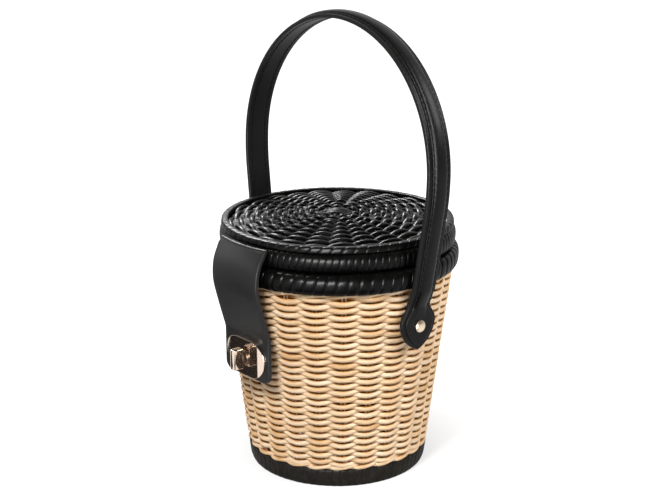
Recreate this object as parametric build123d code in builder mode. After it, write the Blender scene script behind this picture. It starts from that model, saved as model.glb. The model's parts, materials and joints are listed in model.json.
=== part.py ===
from build123d import *
from math import atan2, cos, degrees, radians, sin, tan
import os

# Wicker bucket bag: a tapered woven basket with a hinged woven lid, a leather strap
# with a turn lock at the front and one leather carrying handle.
# The frame has +Z up, the origin at the middle of the base on the floor, the closing
# strap towards -Y, the lid hinge towards +Y and the handle rivets on the X axis.

# Clearances
fit_gap = 0.3           # between pieces of different bodies
seat_gap = 0.2          # between pieces that are held together
pin_gap = 0.05          # radial, round a pin that turns
overrun = 1.0           # by which a cut passes the face it leaves

# Basket: foot band, woven wall, rim and base
foot_height = 15.2
foot_radius = 69.5
foot_width = 6.4
foot_edge = 1.8
wall_foot_radius = 72.3
wall_rim_radius = 91.6
wall_height = 147.2
wall_thickness = 6.0
weave_depth = 3.0
weave_pitch = 2.85
weave_margin = 1.0
crossing_shares = (0.45, 0.55)
stake_count = 25
first_stake_angle = -80.5
rim_height = 16.2
rim_radius = 95.3
rim_width = 10.4
rim_edge = 3.4
base_thickness = 5.0

# Lid: wrapped band, bead and woven panel
lid_gap = 0.4
band_height = 15.0
band_radius = 92.5
band_width = 10.0
band_edge = 3.2
bead_radius = 88.3
bead_size = 5.4
bead_sides = 8
panel_edge_height = 2.6
panel_crown = 6.0
panel_weave_depth = 1.9
panel_weave_pitch = 4.2
panel_weave_margin = 2.0
panel_knot_radius = 11.0
panel_knot_height = 1.6

# Lid hinge: one leather tab, as a leaf on the lid and a leaf on the basket
hinge_width = 36.0
hinge_thickness = 2.0
hinge_leaf_height = 12.0

# Closing strap
strap_width = 54.0
strap_thickness = 3.0
strap_top_drop = 0.8
strap_band_gap = 0.5
strap_rim_gap = 4.6
strap_bend_share = 0.44
strap_flat_rise = 18.0
strap_flat_bend = 15.0
strap_tail = 16.5
strap_corner = 7.0
strap_sections = 12
strap_curve_power = 3

# Turn lock
lock_height = 104.0
plate_width = 47.0
plate_tall = 29.0
plate_thickness = 2.6
plate_bevel = 0.4
plate_fold_width = 28.0
plate_end_drop = 1.5
plate_collar_diameter = 11.0
plate_collar_height = 1.0
knob_width = 6.0
knob_tall = 16.0
knob_depth = 8.6
knob_edge = 1.2
knob_neck_diameter = 7.4
knob_neck_height = 1.6
knob_lift = 0.2
stem_diameter = 5.0
tongue_width = 2.6
tongue_tall = 13.0
tongue_thickness = 1.0
backing_diameter = 20.0
backing_thickness = 0.6
keeper_width = 20.0
keeper_drop = 10.0
keeper_rise = 1.2
keeper_sheet = 0.6
keeper_mouth = 7.0
prong_diameter = 2.4
prong_spacing = 12.0
prong_drop = 5.0
prong_plate_width = 18.0
prong_plate_tall = 7.0
prong_plate_thickness = 0.8

# Handle
rivet_height = 133.0
handle_width = 22.0
handle_thickness = 3.0
handle_arch_radius = 106.5
handle_arch_top = 352.5
handle_rim_gap = 0.6
handle_bend = 12.0
handle_leg_drop = 14.0
handle_leg_share = 0.9
handle_lean = 2.0
tab_wall_gap = 0.9
tab_rise = 17.0
tab_width = 34.5
tab_shoulder = 3.0
tab_drop = 19.0
tab_round_shares = (0.69, 0.62)
cover_width = 13.0
cover_foot = 9.0
cover_thickness = 2.8
cover_inset = 3.6
cover_tab_thickness = 1.0
rivet_diameter = 4.0
rivet_cap_diameter = 9.4
rivet_cap_height = 2.4
rivet_cap_bevel = 1.6
rivet_dome_share = 0.7
rivet_burr = 0.8
bush_diameter = 8.0
washer_diameter = 14.0
washer_thickness = 1.2

# Places that follow from the sizes
wall_foot = foot_height
wall_top = wall_foot + wall_height
rim_top = wall_top + rim_height
band_foot = rim_top + lid_gap
band_top = band_foot + band_height
wall_slope = (wall_rim_radius - wall_foot_radius) / wall_height
stake_step = 360 / stake_count
strap_top = band_top - strap_top_drop
strap_bulge_reach = max(rim_radius, band_radius) + strap_rim_gap
strap_flat_top = lock_height + strap_flat_rise
strap_foot = lock_height - strap_tail
keeper_reach = wall_foot_radius + (lock_height + keeper_rise - wall_foot) * wall_slope + fit_gap
tongue_reach = keeper_reach + keeper_sheet + seat_gap
lip_reach = tongue_reach + tongue_thickness + seat_gap
strap_flat_reach = lip_reach + keeper_sheet + fit_gap + backing_thickness
strap_face = strap_flat_reach + strap_thickness
plate_face = strap_face + plate_thickness
collar_face = plate_face + plate_collar_height
hinge_height = rim_top + lid_gap / 2


def radial_plane(angle):
    """The upright plane through the axis at an angle from +X: x runs out, y runs up."""
    outward = (cos(radians(angle)), sin(radians(angle)), 0)
    across = (sin(radians(angle)), -cos(radians(angle)), 0)
    return Plane(origin=(0, 0, 0), x_dir=outward, z_dir=across)


def front_plane(reach):
    """The upright plane at the front, a reach from the axis: x right, y up, z outwards."""
    return Plane(origin=(0, -reach, 0), x_dir=(1, 0, 0), z_dir=(0, -1, 0))


def wall_radius(height):
    """Outer radius of the woven wall, over its ridges."""
    return wall_foot_radius + (height - wall_foot) * wall_slope


def flat_inside(height, width):
    """Reach of a flat plate of some width that lies against the inside of the wall."""
    inner = wall_radius(height) - wall_thickness
    return (inner ** 2 - (width / 2) ** 2) ** 0.5


def relief_share(station, row):
    """How far a row lies below its ridge: 0 on a ridge, 1 under a stake, about half between."""
    under = (row + station // 2) % 2
    if station % 2:
        return crossing_shares[under]
    return under


def wall_section(station):
    """Outline of the wall at a half stake step; its rows climb one pitch in a full turn."""
    rows = int((wall_height - 2 * weave_margin) / weave_pitch)
    climb = weave_pitch * station / (2 * stake_count)
    foot_inner = wall_foot_radius - wall_thickness
    rim_inner = wall_rim_radius - wall_thickness
    middle = weave_depth / 2
    outline = [(foot_inner, wall_foot), (wall_foot_radius - middle, wall_foot)]
    for row in range(rows):
        height = wall_foot + weave_margin + climb + row * weave_pitch
        sink = weave_depth * relief_share(station, row)
        outline.append((wall_radius(height) - sink, height))
    outline += [(wall_rim_radius - middle, wall_top), (rim_inner, wall_top)]
    return outline


def panel_height(reach):
    """Top of the lid panel over its ridges, a shallow dome."""
    edge = bead_radius - bead_size / 2
    return band_top + panel_edge_height + panel_crown * (1 - (reach / edge) ** 2)


def panel_section(station):
    """Outline of the lid panel at a half stake step; its rows wind outwards one pitch a turn."""
    edge = bead_radius - bead_size / 2 - seat_gap
    span = edge - panel_knot_radius - 2 * panel_weave_margin
    rows = int(span / panel_weave_pitch)
    climb = panel_weave_pitch * station / (2 * stake_count)
    middle = panel_weave_depth / 2
    outline = [(panel_knot_radius, band_top), (panel_knot_radius, panel_height(panel_knot_radius) - middle)]
    for row in range(rows):
        reach = panel_knot_radius + panel_weave_margin + climb + row * panel_weave_pitch
        sink = panel_weave_depth * relief_share(station, row)
        outline.append((reach, panel_height(reach) - sink))
    outline += [(edge, panel_height(edge) - middle), (edge, band_top)]
    return outline


def woven_arc(section, first_station, last_station):
    """Loft of a woven ring between two stations, through a section at every half stake step."""
    with BuildPart() as arc:
        for station in range(first_station, last_station + 1):
            with BuildSketch(radial_plane(first_stake_angle + station * stake_step / 2)):
                with BuildLine():
                    Polyline(*section(station), close=True)
                make_face()
        loft(ruled=True)
    return arc.part


def ring_profile(inner, outer, foot, height, edge):
    """Half section of a wrapped ring: flat inside, top and bottom, round outside."""
    with BuildSketch(Plane.XZ) as profile:
        with BuildLine():
            Polyline((outer - edge, foot + height), (inner, foot + height), (inner, foot), (outer - edge, foot))
            ThreePointArc((outer - edge, foot), (outer, foot + height / 2), (outer - edge, foot + height))
        make_face()
    return profile.sketch


seam_station = stake_count + stake_count % 2 - 1
last_station = 2 * stake_count - 1

# Woven wall, in two half turns, with the holes for the rivets and the keeper's prongs
wall_half_front = woven_arc(wall_section, -1, seam_station)
wall_half_back = woven_arc(wall_section, seam_station, last_station)
with BuildPart() as basket_wall:
    add(wall_half_front)
    add(wall_half_back)
    with BuildSketch(Plane.YZ):
        with Locations((0, rivet_height)):
            Circle(bush_diameter / 2 + pin_gap)
    extrude(amount=rim_radius, both=True, mode=Mode.SUBTRACT)
    with BuildSketch(front_plane(0)):
        with Locations((0, lock_height - prong_drop)):
            with GridLocations(prong_spacing, 0, 2, 1):
                Circle(prong_diameter / 2 + pin_gap)
    extrude(amount=rim_radius, mode=Mode.SUBTRACT)

# Foot band, flared with the wall and round at the floor
with BuildPart() as foot_band:
    with BuildSketch(Plane.XZ):
        with BuildLine():
            Polyline(
                (foot_radius, 0),
                (wall_foot_radius - foot_width, 0),
                (wall_foot_radius - foot_width, foot_height),
                (wall_foot_radius, foot_height),
                (wall_radius(foot_edge), foot_edge),
                close=True,
            )
        make_face()
    revolve(axis=Axis.Z)

# Rim
with BuildPart() as basket_rim:
    add(ring_profile(rim_radius - rim_width, rim_radius, wall_top, rim_height, rim_edge))
    revolve(axis=Axis.Z)

# Flat base inside the foot band
with BuildPart() as basket_base:
    with BuildSketch():
        Circle(wall_foot_radius - foot_width - seat_gap)
    extrude(amount=base_thickness)

# Lid band, bead and woven panel
with BuildPart() as lid_band:
    add(ring_profile(band_radius - band_width, band_radius, band_foot, band_height, band_edge))
    revolve(axis=Axis.Z)

with BuildPart() as lid_bead:
    with BuildSketch(Plane.XZ):
        with Locations((bead_radius, band_top + bead_size / 2)):
            RegularPolygon(bead_size / 2, bead_sides, major_radius=False, rotation=180 / bead_sides)
    revolve(axis=Axis.Z)

panel_half_front = woven_arc(panel_section, -1, seam_station)
panel_half_back = woven_arc(panel_section, seam_station, last_station)
with BuildPart() as panel_knot:
    with BuildSketch(Plane.XY.offset(band_top)):
        RegularPolygon(panel_knot_radius + panel_weave_margin, stake_count)
    extrude(amount=panel_height(0) - band_top)
    chamfer(faces().sort_by(Axis.Z)[-1].edges(), panel_knot_height)

with BuildPart() as lid_panel:
    add(panel_half_front)
    add(panel_half_back)
    add(panel_knot.part)

# Hinge leaves, curved with the band and the rim
hinge_sweep = 2 * degrees(hinge_width / 2 / rim_radius)


def hinge_leaf(reach, foot, height):
    """A leather leaf at the back, bent round the axis."""
    with BuildPart() as leaf:
        with BuildSketch(radial_plane(90 - hinge_sweep / 2)):
            with Locations((reach, foot)):
                Rectangle(hinge_thickness, height, align=(Align.MIN, Align.MIN))
        revolve(axis=Axis.Z, revolution_arc=hinge_sweep)
    return leaf.part


lid_leaf_foot = hinge_height + fit_gap
lid_hinge_leaf = hinge_leaf(band_radius + seat_gap, lid_leaf_foot, hinge_leaf_height)
basket_leaf_top = hinge_height - fit_gap
basket_leaf_foot = basket_leaf_top - hinge_leaf_height
basket_hinge_leaf = hinge_leaf(rim_radius + seat_gap, basket_leaf_foot, hinge_leaf_height)

# Closing strap: curved with the lid band where it is sewn on, out over the rim and flat behind the lock
strap_sew_reach = band_radius + strap_band_gap
strap_upper_turn = atan2(strap_bulge_reach - strap_sew_reach, strap_top - rim_top)
strap_lower_turn = atan2(strap_bulge_reach - strap_flat_reach, wall_top - strap_flat_top)
strap_upper_bend = strap_bend_share * rim_height / tan(strap_upper_turn / 2)
strap_lower_bend = strap_bend_share * rim_height / tan(strap_lower_turn / 2)
strap_join = lock_height + plate_tall / 2 + fit_gap
strap_sag = band_radius - (band_radius ** 2 - (strap_width / 2) ** 2) ** 0.5
with BuildLine(Plane.YZ) as strap_line:
    FilletPolyline(
        (-strap_sew_reach, strap_top),
        (-strap_bulge_reach, rim_top),
        (-strap_bulge_reach, wall_top),
        (-strap_flat_reach, strap_flat_top),
        (-strap_flat_reach, strap_join),
        radius=[strap_upper_bend, strap_lower_bend, strap_flat_bend],
    )

with BuildPart() as strap_upper:
    for step in range(strap_sections + 1):
        way_share = step / strap_sections
        middle = strap_line.wire() @ way_share
        curve_share = (middle.Z - strap_join) / (strap_top - strap_join)
        sag = strap_sag * curve_share ** strap_curve_power
        half = strap_width / 2
        face = strap_thickness
        with BuildSketch(Plane(middle, x_dir=(1, 0, 0), z_dir=strap_line.wire() % way_share)):
            with BuildLine():
                inner = Bezier((-half, -sag), (0, sag), (half, -sag))
                outer = Bezier((-half, face - sag), (0, face + sag), (half, face - sag))
                Line(inner @ 0, outer @ 0)
                Line(inner @ 1, outer @ 1)
            make_face()
    loft()

with BuildPart() as closing_strap:
    with BuildSketch(front_plane(strap_flat_reach)):
        with Locations((0, strap_foot)):
            Rectangle(strap_width, strap_join - strap_foot, align=(Align.CENTER, Align.MIN))
    extrude(amount=strap_thickness)
    fillet(edges().filter_by(Axis.Y).group_by(Axis.Z)[0], strap_corner)
    add(strap_upper.part)
    with BuildSketch(front_plane(0)):
        with Locations((0, lock_height)):
            Circle(stem_diameter / 2 + fit_gap)
    extrude(amount=strap_face + overrun, mode=Mode.SUBTRACT)

# Turn lock: bevelled oval plate, knob with its stem and tongue, backing disc
with BuildPart() as lock_plate:
    with BuildSketch(front_plane(strap_face)):
        with Locations((0, lock_height)):
            SlotOverall(plate_width, plate_tall)
    extrude(amount=plate_thickness)
    with BuildSketch(Plane.XY.offset(lock_height)):
        with BuildLine():
            Polyline(
                (plate_fold_width / 2, -plate_face),
                (plate_width / 2, -plate_face),
                (plate_width / 2, plate_end_drop - plate_face),
                close=True,
            )
        make_face()
        mirror(about=Plane.YZ)
    extrude(amount=plate_tall / 2, both=True, mode=Mode.SUBTRACT)
    chamfer(faces().filter_by(Axis.Y).sort_by(Axis.Y)[0].edges().filter_by(Axis.X), plate_bevel)
    with BuildSketch(front_plane(plate_face)):
        with Locations((0, lock_height)):
            Circle(plate_collar_diameter / 2)
    extrude(amount=plate_collar_height)
    with BuildSketch(front_plane(strap_face)):
        with Locations((0, lock_height)):
            Circle(stem_diameter / 2 + pin_gap)
    extrude(amount=plate_thickness + plate_collar_height, mode=Mode.SUBTRACT)

with BuildPart() as lock_backing:
    with BuildSketch(front_plane(strap_flat_reach - backing_thickness)):
        with Locations((0, lock_height)):
            Circle(backing_diameter / 2)
            Circle(stem_diameter / 2 + pin_gap, mode=Mode.SUBTRACT)
    extrude(amount=backing_thickness)

knob_foot = collar_face + knob_lift
with BuildPart() as lock_knob:
    with BuildSketch(front_plane(knob_foot + knob_neck_height)):
        with Locations((0, lock_height)):
            Rectangle(knob_width, knob_tall)
    extrude(amount=knob_depth)
    knob_face = faces().sort_by(Axis.Y)[0]
    chamfer(knob_face.edges(), knob_edge)
    with BuildSketch(front_plane(knob_foot)):
        with Locations((0, lock_height)):
            Circle(knob_neck_diameter / 2)
    extrude(amount=knob_neck_height)
    with BuildSketch(front_plane(tongue_reach)):
        with Locations((0, lock_height)):
            Circle(stem_diameter / 2)
    extrude(amount=knob_foot - tongue_reach)
    with BuildSketch(front_plane(tongue_reach)):
        with Locations((0, lock_height)):
            Rectangle(tongue_width, tongue_tall)
    extrude(amount=tongue_thickness)

# Keeper on the basket: a sheet channel, open at its top, whose lips hold the turned tongue
keeper_tall = keeper_drop + keeper_rise
keeper_middle = lock_height + (keeper_rise - keeper_drop) / 2
prong_height = lock_height - prong_drop
prong_plate_inside = flat_inside(prong_height - prong_plate_tall / 2, prong_plate_width)
prong_plate_reach = prong_plate_inside - fit_gap - prong_plate_thickness
keeper_depth = lip_reach + keeper_sheet - keeper_reach
with BuildPart() as lock_keeper:
    with BuildSketch(front_plane(keeper_reach)):
        with Locations((0, keeper_middle)):
            Rectangle(keeper_width, keeper_tall)
    extrude(amount=keeper_depth)
    with BuildSketch(front_plane(keeper_reach + keeper_sheet)):
        with Locations((0, keeper_middle)):
            Rectangle(keeper_width - 2 * keeper_sheet, keeper_tall + 2 * overrun)
    extrude(amount=lip_reach - keeper_reach - keeper_sheet, mode=Mode.SUBTRACT)
    with BuildSketch(front_plane(lip_reach)):
        with Locations((0, keeper_middle)):
            Rectangle(keeper_mouth, keeper_tall + 2 * overrun)
    extrude(amount=keeper_sheet + overrun, mode=Mode.SUBTRACT)
    with BuildSketch(front_plane(prong_plate_reach)):
        with Locations((0, prong_height)):
            with GridLocations(prong_spacing, 0, 2, 1):
                Circle(prong_diameter / 2)
    extrude(amount=keeper_reach - prong_plate_reach)

with BuildPart() as keeper_backing:
    with BuildSketch(front_plane(prong_plate_reach)):
        with Locations((0, prong_height)):
            RectangleRounded(prong_plate_width, prong_plate_tall, prong_diameter)
            with GridLocations(prong_spacing, 0, 2, 1):
                Circle(prong_diameter / 2 + pin_gap, mode=Mode.SUBTRACT)
    extrude(amount=prong_plate_thickness)

# Handle line: up each tab, out past the rim and round the arch, drawn about the rivet axis
arch_middle = handle_arch_top - handle_arch_radius - rivet_height
knee_reach = rim_radius + handle_rim_gap
knee_height = wall_top - rivet_height
leg_top = arch_middle - handle_leg_drop
leg_turn = abs(atan2(handle_arch_radius - knee_reach, leg_top - knee_height))
leg_bend = handle_leg_share * handle_leg_drop / tan(leg_turn / 2)
tab_reach = wall_radius(rivet_height + tab_rise) + tab_wall_gap
tab_face = tab_reach + handle_thickness
cover_tab_face = tab_face + cover_tab_thickness
handle_place = Location((0, 0, rivet_height), (-handle_lean, 0, 0))


def handle_line(foot):
    """The line of the handle's inner face, from a foot on one tab to the other."""
    with BuildLine() as line:
        CenterArc((0, arch_middle), handle_arch_radius, 0, 180)
        for side in (1, -1):
            FilletPolyline(
                (side * tab_reach, foot),
                (side * tab_reach, tab_rise),
                (side * knee_reach, knee_height),
                (side * handle_arch_radius, leg_top),
                (side * handle_arch_radius, arch_middle),
                radius=[handle_bend, handle_bend, leg_bend],
            )
    return line.wire()


def handle_tab(reach, thickness, inset):
    """The spade of leather at the foot of the handle, on the +X side, inset all round."""
    half_neck = handle_width / 2 - inset
    half_tab = tab_width / 2 - inset
    top = tab_rise - inset
    drop = tab_drop - inset
    cheek = (half_tab * tab_round_shares[0], tab_shoulder - (tab_shoulder + drop) * tab_round_shares[1])
    with BuildPart() as tab:
        with BuildSketch(Plane.YZ.offset(reach)):
            with BuildLine():
                Line((0, top), (half_neck, top))
                Spline((half_neck, top), (half_tab, tab_shoulder), tangents=((0, -1), (0, -1)))
                ThreePointArc((half_tab, tab_shoulder), cheek, (0, -drop))
                mirror(about=Plane.YZ)
            make_face()
        extrude(amount=thickness)
    return tab.part


# Handle strap: a flat leather band with a spade at each foot
strap_line = handle_line(0)
strap_tab = handle_tab(tab_reach, handle_thickness, 0)
with BuildPart() as upright_strap:
    with BuildSketch(Plane.XZ):
        with BuildLine():
            offset(strap_line, handle_thickness, side=Side.RIGHT)
        make_face()
    extrude(amount=handle_width / 2, both=True)
    add(strap_tab)
    add(strap_tab.mirror(Plane.YZ))
    with BuildSketch(Plane.YZ):
        Circle(rivet_diameter / 2 + pin_gap)
    extrude(amount=cover_tab_face + overrun, both=True, mode=Mode.SUBTRACT)

with BuildPart() as handle_strap:
    with Locations(handle_place):
        add(upright_strap.part)

# Handle cover: a padded roll along the outside of the strap and a smaller spade on each tab
cover_line = Plane.XZ * handle_line(cover_foot)
cover_start = cover_line @ 0
cover_tab = handle_tab(tab_face, cover_tab_thickness, cover_inset)
with BuildPart() as upright_cover:
    with BuildSketch(Plane(cover_start, x_dir=(cover_start.X, 0, 0), z_dir=cover_line % 0)):
        with BuildLine():
            crown = handle_thickness + cover_thickness
            Line((handle_thickness, cover_width / 2), (handle_thickness, -cover_width / 2))
            ThreePointArc((handle_thickness, -cover_width / 2), (crown, 0), (handle_thickness, cover_width / 2))
        make_face()
    sweep(path=cover_line)
    add(cover_tab)
    add(cover_tab.mirror(Plane.YZ))
    with BuildSketch(Plane.YZ):
        Circle(rivet_diameter / 2 + pin_gap)
    extrude(amount=cover_tab_face + overrun, both=True, mode=Mode.SUBTRACT)

with BuildPart() as handle_cover:
    with Locations(handle_place):
        add(upright_cover.part)

# Rivets: a domed cap and shank, a bush through the wall that the tab turns on, a washer inside
cap_foot = cover_tab_face + fit_gap
washer_inside = flat_inside(rivet_height - washer_diameter / 2, washer_diameter)
washer_reach = washer_inside - seat_gap - washer_thickness
burr_reach = washer_reach - rivet_burr
with BuildPart() as rivet_right:
    with BuildSketch(Plane.YZ.offset(burr_reach)):
        with Locations((0, rivet_height)):
            Circle(rivet_diameter / 2)
    extrude(amount=cap_foot - burr_reach)
    with BuildSketch(Plane.YZ.offset(cap_foot)):
        with Locations((0, rivet_height)):
            Circle(rivet_cap_diameter / 2)
    extrude(amount=rivet_cap_height)
    chamfer(edges().group_by(Axis.X)[-1], rivet_cap_bevel, rivet_cap_bevel * rivet_dome_share)

with BuildPart() as bush_right:
    with BuildSketch(Plane.YZ.offset(washer_reach + washer_thickness)):
        with Locations((0, rivet_height)):
            Circle(bush_diameter / 2)
            Circle(rivet_diameter / 2 + pin_gap, mode=Mode.SUBTRACT)
    extrude(amount=tab_reach - fit_gap - washer_reach - washer_thickness)

with BuildPart() as washer_right:
    with BuildSketch(Plane.YZ.offset(washer_reach)):
        with Locations((0, rivet_height)):
            Circle(washer_diameter / 2)
            Circle(rivet_diameter / 2 + pin_gap, mode=Mode.SUBTRACT)
    extrude(amount=washer_thickness)

pieces = {
    "basket_wall": basket_wall.part,
    "basket_base": basket_base.part,
    "foot_band": foot_band.part,
    "basket_rim": basket_rim.part,
    "basket_hinge_leaf": basket_hinge_leaf,
    "lid_panel": lid_panel.part,
    "lid_band": lid_band.part,
    "lid_bead": lid_bead.part,
    "lid_hinge_leaf": lid_hinge_leaf,
    "closing_strap": closing_strap.part,
    "lock_plate": lock_plate.part,
    "lock_backing": lock_backing.part,
    "lock_knob": lock_knob.part,
    "lock_keeper": lock_keeper.part,
    "keeper_backing": keeper_backing.part,
    "handle_strap": handle_strap.part,
    "handle_cover": handle_cover.part,
    "rivet_right": rivet_right.part,
    "rivet_left": rivet_right.part.mirror(Plane.YZ),
    "rivet_bush_right": bush_right.part,
    "rivet_bush_left": bush_right.part.mirror(Plane.YZ),
    "rivet_washer_right": washer_right.part,
    "rivet_washer_left": washer_right.part.mirror(Plane.YZ),
}
os.makedirs("parts", exist_ok=True)
for name, piece in pieces.items():
    piece.label = name
    export_step(piece, f"parts/{name}.step")
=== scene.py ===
import json
import math

import bmesh
import bpy
import numpy as np
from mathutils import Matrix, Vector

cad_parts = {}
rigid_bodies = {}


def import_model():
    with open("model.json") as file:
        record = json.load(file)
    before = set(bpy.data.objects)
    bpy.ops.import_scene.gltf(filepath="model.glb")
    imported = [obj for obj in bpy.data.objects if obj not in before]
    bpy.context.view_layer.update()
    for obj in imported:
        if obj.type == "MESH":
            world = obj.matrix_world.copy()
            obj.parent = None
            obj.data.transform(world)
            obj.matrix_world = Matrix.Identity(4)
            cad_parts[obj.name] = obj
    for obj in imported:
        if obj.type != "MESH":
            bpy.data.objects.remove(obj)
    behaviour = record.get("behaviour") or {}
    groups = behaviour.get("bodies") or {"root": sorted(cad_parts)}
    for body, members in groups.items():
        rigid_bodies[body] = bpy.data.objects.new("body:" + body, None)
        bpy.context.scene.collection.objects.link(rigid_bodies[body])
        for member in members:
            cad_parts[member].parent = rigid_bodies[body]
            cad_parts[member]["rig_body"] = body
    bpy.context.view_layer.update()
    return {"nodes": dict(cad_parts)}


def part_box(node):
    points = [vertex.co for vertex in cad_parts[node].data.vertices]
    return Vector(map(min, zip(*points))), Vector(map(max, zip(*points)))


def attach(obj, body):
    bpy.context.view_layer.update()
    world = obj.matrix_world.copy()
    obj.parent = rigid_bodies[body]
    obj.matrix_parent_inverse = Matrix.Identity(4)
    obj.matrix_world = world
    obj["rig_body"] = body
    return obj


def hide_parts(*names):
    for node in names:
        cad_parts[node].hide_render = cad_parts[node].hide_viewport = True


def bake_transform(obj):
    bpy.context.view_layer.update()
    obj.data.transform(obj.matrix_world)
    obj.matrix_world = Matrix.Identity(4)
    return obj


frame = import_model()
scene = bpy.context.scene
scene.view_settings.view_transform = "Standard"
MM = 0.001
TAU = 2 * math.pi
rng = np.random.default_rng(11)

# Sizes in millimetres, as in the solids
STAKES = 25
STAKE_STEP = TAU / STAKES
FIRST_STAKE = math.radians(-80.5)
WALL_FOOT, WALL_TOP = 15.2, 162.4
WALL_FOOT_RADIUS, WALL_TOP_RADIUS = 72.3, 91.6
RIM_TOP, BAND_FOOT, BAND_TOP, BEAD_TOP = 178.6, 179.0, 194.0, 199.4
PANEL_RADIUS, PANEL_EDGE, PANEL_RISE = 85.6, 2.6, 6.0
RIVET_HEIGHT, LOCK_HEIGHT = 133.0, 104.0


def wall_radius(z):
    return WALL_FOOT_RADIUS + (z - WALL_FOOT) * (WALL_TOP_RADIUS - WALL_FOOT_RADIUS) / (WALL_TOP - WALL_FOOT)


def panel_top(r):
    return BAND_TOP + PANEL_EDGE + PANEL_RISE * (1 - (r / PANEL_RADIUS) ** 2)


def wander(count, knots, low, high):
    """A smooth random line of count values through a few random knots."""
    at = np.linspace(0, knots - 1, count)
    values = rng.uniform(low, high, knots + 1)
    left = np.minimum(at.astype(int), knots - 1)
    share = at - left
    share = share * share * (3 - 2 * share)
    return values[left] * (1 - share) + values[left + 1] * share


class Pile:
    """Grids of points, in millimetres, that become one mesh with a few values at each point."""

    KEYS = ("along", "across", "tint", "cavity")

    def __init__(self):
        self.points, self.quads, self.caps, self.count = [], [], [], 0
        self.values = {key: [] for key in self.KEYS}

    def grid(self, points, wrap_u=False, wrap_v=False, shift=0, cap=False, **values):
        nu, nv = points.shape[:2]
        rows = np.arange(nu if wrap_u else nu - 1)
        i, j = np.meshgrid(rows, np.arange(nv if wrap_v else nv - 1), indexing="ij")

        def index(a, b):
            over = b >= nv
            return self.count + ((a + shift * over) % nu) * nv + b % nv

        quads = np.stack([index(i, j), index(i + 1, j), index(i + 1, j + 1), index(i, j + 1)], -1)
        self.quads.append(quads.reshape(-1, 4))
        if cap:
            self.caps.append([self.count + k for k in range(nv)][::-1])
            self.caps.append([self.count + (nu - 1) * nv + k for k in range(nv)])
        self.points.append(points.reshape(-1, 3))
        for key in self.KEYS:
            value = np.broadcast_to(np.asarray(values.get(key, 0.0), float), (nu, nv))
            self.values[key].append(value.reshape(-1))
        self.count += nu * nv

    def tube(self, centre, first, second, half_first, half_second, sides, closed=False, **values):
        """A tube round a line, with an oval section spread along two directions at each point."""
        angle = np.arange(sides) * TAU / sides
        half_first = np.broadcast_to(half_first, (len(centre),))
        half_second = np.broadcast_to(half_second, (len(centre),))
        ring = centre[:, None] + first[:, None] * (half_first[:, None] * np.cos(angle))[..., None]
        ring = ring + second[:, None] * (half_second[:, None] * np.sin(angle))[..., None]
        values.setdefault("across", angle[None] / TAU)
        self.grid(ring, wrap_u=closed, wrap_v=True, cap=not closed, **values)

    def build(self, name, material, body, sharp=None):
        mesh = bpy.data.meshes.new(name)
        faces = np.concatenate(self.quads).tolist() + self.caps
        mesh.from_pydata((np.concatenate(self.points) * MM).tolist(), [], faces)
        for key in self.KEYS:
            attribute = mesh.attributes.new(key, "FLOAT", "POINT")
            attribute.data.foreach_set("value", np.concatenate(self.values[key]).astype(np.float32))
        return finish_mesh(mesh, material, body, sharp)


# The pieces of each body, for the lamps that light only some of them
bodies = {}


def finish_mesh(mesh, material, body, sharp=None):
    edit = bmesh.new()
    edit.from_mesh(mesh)
    bmesh.ops.recalc_face_normals(edit, faces=edit.faces)
    edit.to_mesh(mesh)
    edit.free()
    mesh.shade_smooth()
    if sharp is not None:
        mesh.set_sharp_from_angle(angle=math.radians(sharp))
    mesh.materials.append(material)
    piece = bpy.data.objects.new(mesh.name, mesh)
    scene.collection.objects.link(piece)
    bodies.setdefault(body, []).append(piece)
    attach(piece, body)
    return piece


def ring_frame(theta):
    """Outward and tangent directions round the axis."""
    zero = np.zeros_like(theta)
    return np.stack([np.cos(theta), np.sin(theta), zero], -1), np.stack([-np.sin(theta), np.cos(theta), zero], -1)


UP = np.array([0.0, 0.0, 1.0])


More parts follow.
